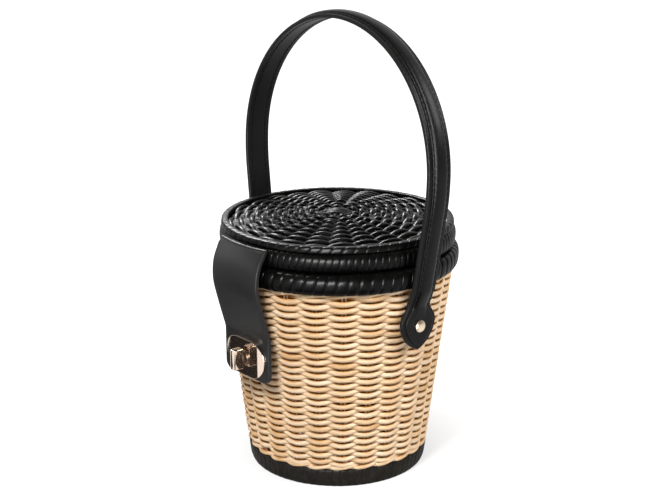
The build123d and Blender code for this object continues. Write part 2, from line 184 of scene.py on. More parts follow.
# Materials
class Shader:
    """A node material with a few short ways to add and join its nodes."""

    def __init__(self, name):
        self.material = bpy.data.materials.new(name)
        self.material.use_nodes = True
        self.tree = self.material.node_tree
        self.surface = self.tree.nodes["Principled BSDF"]

    def node(self, kind, settings=None, **inputs):
        node = self.tree.nodes.new(kind)
        for key, value in (settings or {}).items():
            setattr(node, key, value)
        for key, value in inputs.items():
            self.feed(node.inputs[key.replace("_", " ")], value)
        return node

    def feed(self, socket, value):
        if isinstance(value, bpy.types.NodeSocket):
            self.tree.links.new(value, socket)
        else:
            socket.default_value = value

    def set(self, **inputs):
        for key, value in inputs.items():
            self.feed(self.surface.inputs[key.replace("_", " ")], value)

    def value(self, key):
        return self.node("ShaderNodeAttribute", {"attribute_name": key}).outputs["Fac"]

    def math(self, operation, a, b=0.0, c=0.0):
        node = self.node("ShaderNodeMath", {"operation": operation})
        for socket, value in zip(node.inputs, (a, b, c)):
            self.feed(socket, value)
        return node.outputs[0]

    def place(self, x_scale=1.0, y_scale=1.0, z_scale=1.0):
        """The point's own place in the part, stretched."""
        coordinates = self.node("ShaderNodeTexCoord").outputs["Object"]
        return self.node("ShaderNodeMapping", Vector=coordinates, Scale=(x_scale, y_scale, z_scale)).outputs["Vector"]

    def fibre(self, along_scale, across_scale):
        """Places along and across a strand, for a grain that runs with it."""
        return self.node(
            "ShaderNodeCombineXYZ",
            X=self.math("MULTIPLY", self.value("along"), along_scale),
            Y=self.math("MULTIPLY", self.value("across"), across_scale),
            Z=self.math("MULTIPLY", self.value("tint"), 9.0),
        ).outputs["Vector"]

    def noise(self, vector, scale=1.0, detail=3.0, roughness=0.55):
        inputs = {"Vector": vector, "Scale": scale, "Detail": detail, "Roughness": roughness}
        return self.node("ShaderNodeTexNoise", **inputs).outputs["Fac"]

    def ramp(self, value, *stops):
        node = self.node("ShaderNodeValToRGB", Fac=value)
        points = node.color_ramp.elements
        while len(points) < len(stops):
            points.new(0.5)
        for point, (at, colour) in zip(points, stops):
            point.position = at
            point.color = (*colour, 1.0)
        return node.outputs["Color"]

    def range(self, value, low, high, new_low, new_high):
        node = self.node("ShaderNodeMapRange", Value=value)
        for key, number in zip(("From Min", "From Max", "To Min", "To Max"), (low, high, new_low, new_high)):
            node.inputs[key].default_value = number
        return node.outputs["Result"]

    def mix(self, share, a, b):
        node = self.node("ShaderNodeMix", {"data_type": "RGBA"})
        self.feed(node.inputs["Factor"], share)
        self.feed(node.inputs[6], a)
        self.feed(node.inputs[7], b)
        return node.outputs[2]

    def bump(self, height, strength, distance, normal=None):
        node = self.node("ShaderNodeBump", Height=height, Strength=strength, Distance=distance)
        if normal is not None:
            self.feed(node.inputs["Normal"], normal)
        return node.outputs["Normal"]


def wicker_material():
    look = Shader("wicker_natural")
    grain = look.noise(look.fibre(0.05, 7.0), detail=5.0)
    patch = look.noise(look.place(90, 90, 90), detail=2.0)
    tint = look.math("MULTIPLY", look.value("tint"), 0.62)
    shade = look.math("ADD", tint, look.math("MULTIPLY", grain, 0.42))
    shade = look.math("ADD", shade, look.math("MULTIPLY_ADD", patch, 0.24, -0.15))
    reed = look.ramp(
        shade,
        (0.05, (0.42, 0.215, 0.09)),
        (0.28, (0.64, 0.415, 0.22)),
        (0.52, (0.76, 0.555, 0.345)),
        (0.85, (0.84, 0.675, 0.49)),
    )
    # Some reeds are rosier. Painted shade: where a reed dives between the stakes, its hidden sides go from brown to
    # nearly black
    blush = look.noise(look.fibre(0.016, 0.4), scale=2.0, detail=2.0)
    reed = look.mix(look.range(blush, 0.5, 0.72, 0.0, 0.55), reed, (0.8, 0.53, 0.37, 1))
    cavity = look.value("cavity")
    # Painted shade in the recesses between reeds: brown first, nearly black in the deepest
    reed = look.mix(look.range(cavity, 0.08, 0.48, 0.0, 0.9), reed, (0.5, 0.22, 0.05, 1))
    look.set(
        Base_Color=look.mix(look.range(cavity, 0.5, 0.95, 0.0, 1.0), reed, (0.12, 0.03, 0.002, 1)),
        Roughness=look.range(grain, 0.2, 0.8, 0.42, 0.62),
        Normal=look.bump(grain, 0.35, 0.0004),
    )
    look.set(Specular_IOR_Level=0.008)
    return look.material


def rattan_material(name, dark, light, rough_low, rough_high, coat):
    look = Shader(name)
    grain = look.noise(look.fibre(0.06, 9.0), detail=5.0)
    patch = look.noise(look.place(160, 160, 160), detail=2.0)
    worn = look.range(look.math("MULTIPLY", grain, patch), 0.2, 0.5, 0.0, 1.0)
    look.set(
        Base_Color=look.mix(worn, dark, light),
        Roughness=look.range(grain, 0.25, 0.75, rough_low, rough_high),
        Normal=look.bump(grain, 0.3, 0.0003),
    )
    look.set(Specular_IOR_Level=0.05, Coat_Weight=coat, Coat_Roughness=0.17, Coat_IOR=1.5)
    return look.material


def leather_material(name, grain_scale, depth, rough_low, rough_high, specular):
    look = Shader(name)
    pores = look.node("ShaderNodeTexVoronoi", Vector=look.place(), Scale=grain_scale).outputs["Distance"]
    creases = look.noise(look.place(), scale=grain_scale * 0.45, detail=4.0)
    cloud = look.noise(look.place(), scale=38.0, detail=3.0)
    edge = look.value("cavity")
    height = look.math("ADD", look.math("MULTIPLY", pores, 0.6), creases)
    sheen = look.math("ADD", cloud, look.math("MULTIPLY", creases, 0.4))
    look.set(
        Base_Color=look.mix(
            edge,
            look.mix(cloud, (0.003, 0.0029, 0.0029, 1), (0.006, 0.0058, 0.0057, 1)),
            (0.014, 0.0135, 0.013, 1),
        ),
        Roughness=look.range(sheen, 0.4, 1.0, rough_low, rough_high),
        Normal=look.bump(height, depth, 0.0003),
    )
    look.set(Specular_IOR_Level=specular)
    return look.material


def metal_material(name, colour, rough_low, rough_high):
    look = Shader(name)
    haze = look.noise(look.place(), scale=120.0, detail=4.0)
    look.set(
        Base_Color=look.mix(haze, colour, tuple(c * 0.93 for c in colour[:3]) + (1,)),
        Roughness=look.range(haze, 0.3, 0.75, rough_low, rough_high),
    )
    look.set(Metallic=1.0)
    return look.material


def thread_material():
    look = Shader("black_thread")
    twist = look.noise(look.fibre(2.0, 5.0), detail=2.0)
    look.set(
        Base_Color=look.mix(twist, (0.004, 0.0038, 0.0038, 1), (0.012, 0.0115, 0.011, 1)),
        Roughness=look.range(twist, 0.2, 0.8, 0.5, 0.75),
        Normal=look.bump(twist, 0.4, 0.0002),
    )
    look.set(Specular_IOR_Level=0.01)
    return look.material


wicker = wicker_material()
rattan = rattan_material(
    "rattan_black", (0.002, 0.0019, 0.0018, 1), (0.006, 0.0055, 0.005, 1), rough_low=0.3, rough_high=0.46, coat=0.12
)
rattan_matte = rattan_material(
    "rattan_black_matte", (0.012, 0.0105, 0.0085, 1), (0.03, 0.026, 0.021, 1), rough_low=0.4, rough_high=0.6, coat=0.05
)
leather = leather_material("leather_black", 1300.0, depth=0.12, rough_low=0.28, rough_high=0.4, specular=0.12)
leather_strap = leather_material(
    "leather_black_smooth", 1900.0, depth=0.06, rough_low=0.4, rough_high=0.52, specular=0.28
)
rose_gold = metal_material("rose_gold", (0.92, 0.755, 0.62, 1), 0.06, 0.11)
# A gold darkened to nearly black: painted shade on the lock's collar and the knob's neck, which also keeps glints off
# them
painted_shade_gold = metal_material("painted_shade_gold", (0.13, 0.095, 0.075, 1), 0.28, 0.4)
pale_gold = metal_material("pale_gold", (0.88, 0.74, 0.56, 1), 0.36, 0.46)
thread = thread_material()


# Woven surfaces: one reed wound in a spiral, over one stake and under the next
REED_SIDES = 8
# How far the reed strays: shares of its swing and width, and millimetres across the rows
SWING_STRAY, WIDTH_STRAY, ROW_STRAY = 0.1, 0.07, 0.17
# Points from one random knot to the next for its form, and for its short and long changes of colour
FORM_RUN, SHORT_RUN, LONG_RUN = 16, 11, 60


def spiral_weave(pile, place, normal, across, wave, swing, half_thick, half_low, half_high):
    """For each point its place, the way out of the surface, the way to the next row and how far out it is woven."""
    count = len(place)
    knots = max(3, int(count / FORM_RUN))
    swing = swing * (1 + wander(count, knots, -SWING_STRAY, SWING_STRAY))
    spread = half_low + (half_high - half_low) * np.abs(wave) ** 1.3
    spread = spread * (1 + wander(count, knots, -WIDTH_STRAY, WIDTH_STRAY))
    stray = wander(count, knots * 2, -ROW_STRAY, ROW_STRAY)
    centre = place + normal * (swing * wave)[:, None] + across * stray[:, None]
    angle = np.arange(REED_SIDES) * TAU / REED_SIDES
    # Painted shade: the reed's sides darken where it dives past a stake, and its face darkens where it lies behind a
    # stake
    sides_hidden = np.abs(wave)[:, None] ** 2 * np.abs(np.sin(angle)) ** 3.5
    face_hidden = 0.9 * np.clip(-wave[:, None] * np.cos(angle), 0, 1)
    shadow = np.maximum(sides_hidden, face_hidden)
    step = np.linalg.norm(np.diff(place, axis=0), axis=1)
    along = np.concatenate([[0], np.cumsum(step)])
    tint = wander(count, max(3, int(count / SHORT_RUN)), 0.1, 1.0) * 0.6
    tint = np.clip(tint + wander(count, max(3, int(count / LONG_RUN)), 0.0, 0.6), 0, 1)
    pile.tube(
        centre, normal, across, half_thick, spread, REED_SIDES,
        along=along[:, None], tint=tint[:, None], cavity=shadow,
    )


def wall_surface(theta, z, inset):
    outward = ring_frame(theta)[0]
    radius = wall_radius(z) - inset
    place = outward * radius[:, None] + UP * z[:, None]
    return place, outward


# The middle of the weave inside the wall's face, the first row's height, and the rows' pitch and dip over each stake
WALL_MIDDLE = 3.2
FIRST_ROW, ROW_PITCH, ROW_DIP = 21.9, 2.85, 0.75
# Points along the reed from one stake to the next
FINE = 9


def wall_weave(name, first_row, last_row):
    theta = np.arange(first_row * STAKES * FINE, last_row * STAKES * FINE + 1) * STAKE_STEP / FINE
    wave = np.cos(theta * STAKES / 2)
    z = FIRST_ROW + ROW_PITCH * theta / TAU - ROW_DIP * wave
    place, outward = wall_surface(theta + FIRST_STAKE, z, WALL_MIDDLE)
    up = np.broadcast_to(UP, place.shape)
    pile = Pile()
    spiral_weave(pile, place, outward, up, wave, swing=2.0, half_thick=1.3, half_low=1.75, half_high=2.28)
    return pile.build(name, wicker, "basket")


weave_lower = wall_weave("wall_weave_lower", -1, 24)
weave_upper = wall_weave("wall_weave_upper", 24, 49)
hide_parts("basket_wall")
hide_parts("basket_wall")

# Each stake is a pair of rods
ROD_POINTS = 24
pile = Pile()
for stake in range(STAKES):
    theta = np.full(ROD_POINTS, FIRST_STAKE + stake * STAKE_STEP)
    for side in (-1.3, 1.3):
        z = np.linspace(14.0, 164.0, ROD_POINTS)
        place, outward = wall_surface(theta, z, WALL_MIDDLE)
        tangent = ring_frame(theta)[1]
        place = place + tangent * (side + wander(ROD_POINTS, 6, -0.2, 0.2))[:, None]
        # The stakes carry a little painted shade, as they lie behind the reeds
        pile.tube(place, outward, tangent, 0.9, 0.65, 8, along=z[:, None], tint=rng.uniform(0.4, 0.9), cavity=0.2)
pile.build("wall_stakes", wicker, "basket")


TWINED_SWING, TWINED_LIFT = 1.8, 0.9


def twined_row(pile, height, half):
    """Two reeds twisted round each other and the stakes: one line that closes after two turns."""
    count = 2 * STAKES * (FINE + 3)
    theta = np.arange(count) * 2 * TAU / count
    turn = theta * STAKES / 2
    z = height + TWINED_LIFT * np.sin(turn)
    place, outward = wall_surface(theta + FIRST_STAKE, z, WALL_MIDDLE - 0.2)
    place = place + outward * (TWINED_SWING * np.cos(turn))[:, None]
    up = np.broadcast_to(UP, place.shape)
    angle = np.arange(REED_SIDES) * TAU / REED_SIDES
    # Painted shade on the sides of the twisted reeds, where they turn in behind each other
    cavity = 0.7 * np.abs(np.cos(turn))[:, None] * np.abs(np.sin(angle)) ** 2.5
    tint = np.concatenate([wander(count - 20, 90, 0.1, 0.9), np.full(20, 0.5)])
    pile.tube(
        place, outward, up, half, half * 1.25, REED_SIDES, closed=True,
        along=(theta * 80)[:, None], tint=tint[:, None], cavity=cavity,
    )


pile = Pile()
twined_row(pile, WALL_FOOT + 1.3, half=1.45)
twined_row(pile, WALL_TOP - 0.4, half=1.3)
pile.build("wall_twined_rows", wicker, "basket")


# In the first turns round the middle the reed goes over and under the stakes two at a time
PAIRED_TURNS, PAIRED_WAVES = 4, 6.5


def disc_weave(pile, inner, outer, pitch, height, swing, half_thick, half_low, half_high, fine):
    turns = (outer - inner) / pitch
    count = int(turns * STAKES * fine)
    theta = np.arange(count) * STAKE_STEP / fine
    radius = inner + pitch * theta / TAU
    outward = ring_frame(theta + FIRST_STAKE)[0]
    slope = (height(radius + 0.5) - height(radius - 0.5))[:, None]
    across = outward + UP * slope
    across = across / np.linalg.norm(across, axis=1)[:, None]
    normal = UP - outward * slope
    normal = normal / np.linalg.norm(normal, axis=1)[:, None]
    place = outward * radius[:, None] + UP * height(radius)[:, None]
    wave = np.cos(theta * np.where(theta < PAIRED_TURNS * TAU, PAIRED_WAVES, STAKES / 2))
    wave = np.sign(wave) * np.abs(wave) ** 0.75
    spiral_weave(pile, place, normal, across, wave, swing, half_thick, half_low, half_high)


def disc_stakes(pile, inner, outer, height, half_wide, half_thick):
    for stake in range(STAKES):
        radius = np.linspace(inner, outer, 16)
        outward, tangent = ring_frame(np.full(16, FIRST_STAKE + stake * STAKE_STEP))
        place = outward * radius[:, None] + UP * height(radius)[:, None]
        up = np.broadcast_to(UP, place.shape)
        tint = rng.uniform(0.2, 0.6)
        # On wicker this value is painted shade: the stakes show darker between the reeds
        pile.tube(place, tangent, up, half_wide, half_thick, 8, along=radius[:, None], tint=tint, cavity=0.6)


def crossed_knot(pile, height, reach, rods, spacing, half, turned):
    """Two layers of rods laid across each other at the middle, where the stakes start."""
    for layer in (0, 1):
        for rod in range(rods):
            offset = (rod - (rods - 1) / 2) * spacing
            length = math.sqrt(reach ** 2 - offset ** 2)
            t = np.linspace(-length, length, 28)
            weave = np.cos(np.clip(t / (spacing * rods / 2), -1, 1) * math.pi / 2)
            direction = turned + layer * math.pi / 2
            one = np.array([math.cos(direction), math.sin(direction), 0.0])
            two = np.array([-math.sin(direction), math.cos(direction), 0.0])
            lift = (1 if layer else -1) * half * 0.9 * weave
            place = one * t[:, None] + two * offset + UP * (height(np.abs(t)) + lift)[:, None]
            first = np.broadcast_to(two, place.shape)
            up = np.broadcast_to(UP, place.shape)
            tint = rng.uniform(0.3, 0.8)
            pile.tube(place, first, up, spacing * 0.37, half, 10, along=t[:, None], tint=tint, cavity=0.1)


def web(pile, outer, height, half_thick):
    """A thin layer between the stakes, which closes the weave as the solid does."""
    radius = np.linspace(0.5, outer, 16)
    loop = np.concatenate([radius, radius[::-1]])
    level = np.concatenate([height(radius) + half_thick, height(radius[::-1]) - half_thick])
    outward = ring_frame(np.arange(100) * TAU / 100)[0]
    points = loop[:, None, None] * outward[None] + UP * level[:, None, None]
    pile.grid(points, wrap_u=True, wrap_v=True, along=loop[:, None], tint=0.3, cavity=0.6)


def panel_middle(r):
    return panel_top(np.asarray(r, float)) - 1.6


pile = Pile()
disc_weave(
    pile, 13.0, 86.4, 4.2, panel_middle, swing=1.9, half_thick=1.2, half_low=2.3, half_high=2.05, fine=FINE
)
disc_stakes(pile, 7.0, 87.0, panel_middle, half_wide=1.5, half_thick=0.7)
web(pile, 86.8, panel_middle, half_thick=0.25)
crossed_knot(pile, panel_middle, reach=12.0, rods=3, spacing=4.8, half=1.5, turned=FIRST_STAKE + 0.5)
lid_weave = pile.build("lid_weave", rattan, "lid")
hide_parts("lid_panel")


def base_middle(r):
    return np.full(np.shape(r), 2.5)


pile = Pile()
disc_weave(pile, 12.0, 66.0, 4.0, base_middle, swing=1.1, half_thick=0.95, half_low=1.6, half_high=2.5, fine=6)
disc_stakes(pile, 6.0, 67.6, base_middle, half_wide=1.4, half_thick=0.7)
crossed_knot(pile, base_middle, reach=11.0, rods=5, spacing=3.2, half=0.95, turned=FIRST_STAKE)
base_weave = pile.build("base_weave", wicker, "basket")
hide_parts("basket_base")


# Rings wrapped in flat strips
def round_section(inner, middle, outer, foot, top, power, count, shear=0.0):
    """A closed section: round from its middle to its outer side, and nearly square inside."""
    angle = np.arange(count) * TAU / count
    c, s = np.cos(angle), np.sin(angle)
    bend = np.where(c > 0, power, 6.0)
    half_z = (top - foot) / 2
    r = np.where(c > 0, outer - middle, middle - inner) * np.sign(c) * np.abs(c) ** (2 / bend)
    z = half_z * np.sign(s) * np.abs(s) ** (2 / bend)
    return np.stack([middle + r + shear * z, foot + half_z + z], -1)


def wrapped_ring(name, section, wraps, groove, material, body, node):
    """Each strip winds once round the section while it moves on by its own width, and is flat on the inside."""
    shares = np.array([0.0, 0.035, 0.09, 0.3, 0.7, 0.91, 0.965])
    steps = len(shares)
    u = (np.arange(wraps)[:, None] + shares[None]).reshape(-1)
    edge = np.abs(2 * shares - 1)
    sink = np.tile(groove * edge ** 10, wraps)
    sink = sink + np.repeat(wander(wraps, wraps, 0.0, 0.16), steps)
    lean = np.tile((shares - 0.5) * 0.1, wraps)
    ahead, behind = np.roll(section, -1, axis=0), np.roll(section, 1, axis=0)
    along_section = ahead - behind
    normal = np.stack([along_section[:, 1], -along_section[:, 0]], -1)
    normal = normal / np.linalg.norm(normal, axis=1)[:, None]
    length = np.concatenate([[0], np.cumsum(np.linalg.norm(np.diff(section, axis=0), axis=1))])
    share = length / (length[-1] + np.linalg.norm(section[0] - section[-1]))
    theta = (u[:, None] + share[None]) * TAU / wraps
    outside = np.clip((section[:, 0] - section[:, 0].mean()) / 2.0 + 0.4, 0, 1)
    rz = section[None] - normal[None] * ((sink + lean)[:, None] * outside)[..., None]
    points = np.stack([rz[..., 0] * np.cos(theta), rz[..., 0] * np.sin(theta), rz[..., 1]], -1)
    pile = Pile()
    tint = np.repeat(rng.uniform(0, 1, wraps), steps)
    pile.grid(
        points, wrap_u=True, wrap_v=True, shift=steps,
        along=length[None], across=u[:, None] * 0.6, tint=tint[:, None],
        cavity=np.tile(edge ** 4, wraps)[:, None],
    )
    ring = pile.build(name, material, body)
    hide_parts(node)


SECTION = 28
rim = round_section(85.0, 90.2, 95.3, WALL_TOP, RIM_TOP, 2.5, SECTION)
lid_band = round_section(82.6, 87.6, 92.5, BAND_FOOT, BAND_TOP + 0.2, 2.5, SECTION)
lid_bead = round_section(PANEL_RADIUS, 88.3, 91.0, BAND_TOP, BEAD_TOP, 4.0, SECTION, shear=-0.1)
foot_band = round_section(66.2, 69.2, 71.4, 0.0, WALL_FOOT, 3.0, SECTION, shear=0.13)
wrapped_ring("rim_wrap", rim, 71, 0.75, rattan, "basket", "basket_rim")
wrapped_ring("lid_band_wrap", lid_band, 110, 0.4, rattan, "lid", "lid_band")
wrapped_ring("lid_bead_wrap", lid_bead, 67, 0.5, rattan, "lid", "lid_bead")
wrapped_ring("foot_band_wrap", foot_band, 74, 0.4, rattan_matte, "basket", "foot_band")


# Leather
def rounded_line(points, radii, step):
    """Points along straight runs that are joined by arcs, in a plane."""
    points = [np.array(p, float) for p in points]
    path = [points[0]]
    for before, corner, after, radius in zip(points, points[1:], points[2:], radii):
        back, on = before - corner, after - corner
        back, on = back / np.linalg.norm(back), on / np.linalg.norm(on)
        half = math.acos(np.clip(-back @ on, -1, 1)) / 2
        reach = radius * math.tan(half)
        middle = corner + (back + on) / np.linalg.norm(back + on) * radius / math.cos(half)
        a, b = corner + back * reach - middle, corner + on * reach - middle
        sweep = math.atan2(a[0] * b[1] - a[1] * b[0], a @ b)
        for t in np.linspace(0, sweep, 9):
            c, s = math.cos(t), math.sin(t)
            path.append(middle + np.array([a[0] * c - a[1] * s, a[0] * s + a[1] * c]))
    path.append(points[-1])
    path = np.array(path)
    length = np.concatenate([[0], np.cumsum(np.linalg.norm(np.diff(path, axis=0), axis=1))])
    even = np.linspace(0, length[-1], int(length[-1] / step) + 1)
    return np.stack([np.interp(even, length, path[:, k]) for k in (0, 1)], -1)


def tangents(line):
    run = np.gradient(line, axis=0)
    return run / np.linalg.norm(run, axis=1)[:, None]


def edge_distance(x, s, half):
    """Distance of each point of a strip, laid out flat, from the strip's outline."""
    outline = np.concatenate([np.stack([half, s], -1), np.stack([-half, s], -1)[::-1]])
    a, b = outline, np.roll(outline, -1, axis=0)
    run = b - a
    square = np.maximum((run ** 2).sum(1), 1e-12)
    p = np.stack([x, np.broadcast_to(s[:, None], x.shape)], -1).reshape(-1, 2)
    best = np.full(len(p), 1e9)
    for k in range(len(a)):
        t = np.clip(((p - a[k]) @ run[k]) / square[k], 0, 1)
        best = np.minimum(best, np.hypot(*(p - a[k] - t[:, None] * run[k]).T))
    return best.reshape(x.shape)


# Distances from an edge of the rows of points beside it
EDGE_STEPS = np.array([0, 0.12, 0.35, 0.7, 1.1, 1.45, 1.75, 2.05, 2.4, 3.0, 4.2])


def columns(half, middle):
    """Shares of the half width for the rows of points, close together near the edges."""
    right = 1 - EDGE_STEPS / half
    inner = np.linspace(0, right[-1], middle, endpoint=False)
    positive = np.concatenate([inner, right[::-1]])
    return np.concatenate([-positive[:0:-1], positive])


def leather_profile(distance, thickness, crease, crease_depth, rounding):
    """Height of the face: round at its edge, with a pressed line inside it."""
    near = np.clip(1 - distance / rounding, 0, 1)
    face = thickness - rounding * (1 - np.sqrt(1 - near ** 2)) * 0.8
    return face - crease_depth * np.exp(-(((distance - crease) / 0.3) ** 2))


def two_sided(pile, face, back, distance, s):
    """A closed band: a face, a back and the edge between them."""
    sheet = np.concatenate([face, back[:, ::-1]], axis=1)
    edge = np.clip(1 - distance / 0.9, 0, 1)
    pile.grid(
        sheet, wrap_v=True, cap=True, along=s[:, None],
        cavity=np.concatenate([edge, edge[:, ::-1]], axis=1),
    )


# Closing strap, which follows the band at its top and lies flat behind the lock
def strap_stations(length, step):
    near = EDGE_STEPS[:-1]
    return np.concatenate([near, np.arange(EDGE_STEPS[-1], length - 3.4, step), length - near[::-1]])


STRAP_HALF, STRAP_CORNER, STRAP_THICK = 27.0, 7.0, 3.0
STRAP_TOP, STRAP_FLAT, STRAP_FOOT = 193.2, 118.8, 87.5
# The strap's back: distance in front of the axis and height, from the lid's band to its lower end
STRAP_TURNS = [(93.0, STRAP_TOP), (99.9, RIM_TOP), (99.9, WALL_TOP), (87.9, 122.0), (87.9, STRAP_FOOT)]
# Curvature across it: round the band at its top, and next to none from STRAP_FLAT down
BAND_BEND, FLAT_BEND = 1 / 94.0, 1 / 5000
line = rounded_line(STRAP_TURNS, [31.9, 48.5, 15.0], 0.5)
run = np.concatenate([[0], np.cumsum(np.linalg.norm(np.diff(line, axis=0), axis=1))])
s = strap_stations(run[-1], 1.3)
y, z = np.interp(s, run, line[:, 0]), np.interp(s, run, line[:, 1])
ty, tz = tangents(np.stack([y, z], -1)).T
corner = np.clip(STRAP_CORNER - (run[-1] - s), 0, STRAP_CORNER)
half = STRAP_HALF - STRAP_CORNER + np.sqrt(np.maximum(STRAP_CORNER ** 2 - corner ** 2, 0))
x = columns(STRAP_HALF, 10)[None] * half[:, None]
bend = np.maximum(np.clip((z - STRAP_FLAT) / (STRAP_TOP - STRAP_FLAT), 0, 1) ** 3 * BAND_BEND, FLAT_BEND)
distance = edge_distance(x, s, half)
crown = leather_profile(distance, STRAP_THICK, crease=1.9, crease_depth=0.35, rounding=0.9)


def strap_point(height):
    out_y, out_z = -tz[:, None] * height, ty[:, None] * height
    radius = 1 / bend[:, None]
    reach = radius + out_y
    depth = -(y[:, None] + out_y) + reach * (1 - np.cos(x / radius))
    return np.stack([np.sin(x / radius) * reach, depth, z[:, None] + out_z], -1)


pile = Pile()
two_sided(pile, strap_point(crown), strap_point(np.broadcast_to(0.0, crown.shape)), distance, s)
strap = pile.build("closing_strap_leather", leather_strap, "lid", sharp=50)
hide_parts("closing_strap")

# Lid hinge: one leather tab over the joint at the back
HINGE_FOOT, HINGE_TOP, HINGE_HALF, HINGE_CORNER, HINGE_BEND = 166.6, 190.8, 18.0, 4.0, 96.0
z = np.linspace(HINGE_FOOT, HINGE_TOP, 40)
reach = np.interp(z, [HINGE_FOOT, 174.0, 178.8, 183.5, HINGE_TOP], [96.0, 96.2, 95.7, 93.6, 93.2])
reach = np.convolve(np.pad(reach, 3, mode="edge"), np.ones(7) / 7, mode="valid")
corner = np.clip(HINGE_CORNER - np.minimum(z - z[0], z[-1] - z), 0, HINGE_CORNER)
half = HINGE_HALF - HINGE_CORNER + np.sqrt(np.maximum(HINGE_CORNER ** 2 - corner ** 2, 0))
x = columns(HINGE_HALF, 8)[None] * half[:, None]
distance = edge_distance(x, z, half)
crown = leather_profile(distance, 1.9, crease=1.75, crease_depth=0.18, rounding=0.7)


def hinge_point(height):
    angle = x / HINGE_BEND
    radius = reach[:, None] + height
    return np.stack([radius * np.sin(angle), radius * np.cos(angle), np.broadcast_to(z[:, None], x.shape)], -1)


pile = Pile()
two_sided(pile, hinge_point(crown), hinge_point(np.zeros_like(crown)), distance, z)
hinge = pile.build("lid_hinge_leather", leather, "basket", sharp=50)
# It was built on the basket, and is taken off the basket's body instead
hinge.parent = None
del hinge["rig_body"]
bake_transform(hinge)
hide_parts("lid_hinge_leaf", "basket_hinge_leaf")


# Handle: a flat strap with a spade at each foot, and a padded cover sewn along its outside
TAB_REACH = wall_radius(RIVET_HEIGHT + 17.0) + 0.9
ARCH_RADIUS, ARCH_HEIGHT = 106.5, 113.0
HANDLE_HALF, HANDLE_THICK = 11.0, 3.0
COVER_HALF, COVER_THICK = 7.3, 1.05
ROLL_HALF, ROLL_HEIGHT = 5.9, 1.9
SPADE_SHARES = (0.69, 0.62)


def spade(half_neck, half_tab, top, shoulder, drop, shares):
    """Heights and half widths of a spade, from its lowest point to its neck."""
    a, c = np.array([half_tab, shoulder]), np.array([0.0, -drop])
    b = np.array([half_tab * shares[0], shoulder - (shoulder + drop) * shares[1]])
    matrix = 2 * np.array([b - a, c - a])
    centre = np.linalg.solve(matrix, [b @ b - a @ a, c @ c - a @ a])
    radius = np.linalg.norm(a - centre)
    first = math.atan2(*(c - centre)[::-1])
    last = math.atan2(*(a - centre)[::-1])
    t = np.linspace(first, last, 40)
    low = np.stack([centre[1] + radius * np.sin(t), np.maximum(centre[0] + radius * np.cos(t), 0.0)], -1)
    u = np.linspace(0, 1, 20)[1:]
    high = np.stack([shoulder + (top - shoulder) * u, half_tab + (half_neck - half_tab) * u * u * (3 - 2 * u)], -1)
    return np.concatenate([low, high])


def handle_line(foot, step):
    """The handle's inner face from foot to foot, about the rivets' axis: its points and how far along they are."""
    turns = [(TAB_REACH, foot), (TAB_REACH, 17.0), (95.9, 29.4), (ARCH_RADIUS, 99.0), (ARCH_RADIUS, ARCH_HEIGHT)]
    leg = rounded_line(turns, [12.0, 12.0, 166.0], step)
    angle = np.linspace(0, math.pi, int(ARCH_RADIUS * math.pi / step))[1:-1]
    arch = np.stack([ARCH_RADIUS * np.cos(angle), ARCH_HEIGHT + ARCH_RADIUS * np.sin(angle)], -1)
    line = np.concatenate([leg, arch, leg[::-1] * [-1, 1]])
    length = np.concatenate([[0], np.cumsum(np.linalg.norm(np.diff(line, axis=0), axis=1))])
    return line, length


LEAN = math.radians(2.0)


def lean(points):
    """From the upright handle about its rivets to its place on the bag."""
    y = points[..., 1] * math.cos(LEAN) + points[..., 2] * math.sin(LEAN)
    z = points[..., 2] * math.cos(LEAN) - points[..., 1] * math.sin(LEAN)
    return np.stack([points[..., 0], y, z + RIVET_HEIGHT], -1)


def handle_stations(length, step):
    near = np.array([0, 0.05, 0.2, 0.5, 0.9, 1.3, 1.7, 2.1, 2.6, 3.2, 3.9, 4.7, 5.6, 6.5])
    return np.concatenate([near, np.arange(7.5, length - 7.0, step), length - near[::-1]])


class Band:
    """A strip along the handle: its line, its half width at each station and a point at any height over it."""

    def __init__(self, foot, outline, step):
        line, run = handle_line(foot, 0.6)
        self.s = handle_stations(run[-1], step)
        self.line = np.stack([np.interp(self.s, run, line[:, k]) for k in (0, 1)], -1)
        self.tangent = tangents(self.line)
        self.level = foot + np.minimum(self.s, run[-1] - self.s)
        self.half = np.interp(self.level, outline[:, 0], outline[:, 1])
        self.length = run[-1]

    def point(self, x, height):
        out = np.stack([self.tangent[:, 1], -self.tangent[:, 0]], -1)
        at = self.line[:, None] + out[:, None] * np.broadcast_to(height, x.shape)[..., None]
        return lean(np.stack([at[..., 0], x, at[..., 1]], -1))


STEP = 1.1
band = Band(-19.0, spade(HANDLE_HALF, 17.25, 17.0, 3.0, 19.0, SPADE_SHARES), STEP * 1.6)
half = np.maximum(band.half, 0.02)
x = columns(HANDLE_HALF, 6)[None] * half[:, None]
distance = edge_distance(x, band.s, half)
crown = leather_profile(distance, HANDLE_THICK, crease=1.5, crease_depth=0.16, rounding=0.9)
under = HANDLE_THICK - leather_profile(distance, HANDLE_THICK, crease=1.5, crease_depth=0.12, rounding=0.6)
pile = Pile()
two_sided(pile, band.point(x, crown), band.point(x, under), distance, band.s)
handle_strap = pile.build("handle_strap_leather", leather, "handle", sharp=50)
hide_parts("handle_strap")

band = Band(-15.4, spade(COVER_HALF, 13.65, 15.5, 3.0, 15.4, SPADE_SHARES), STEP)
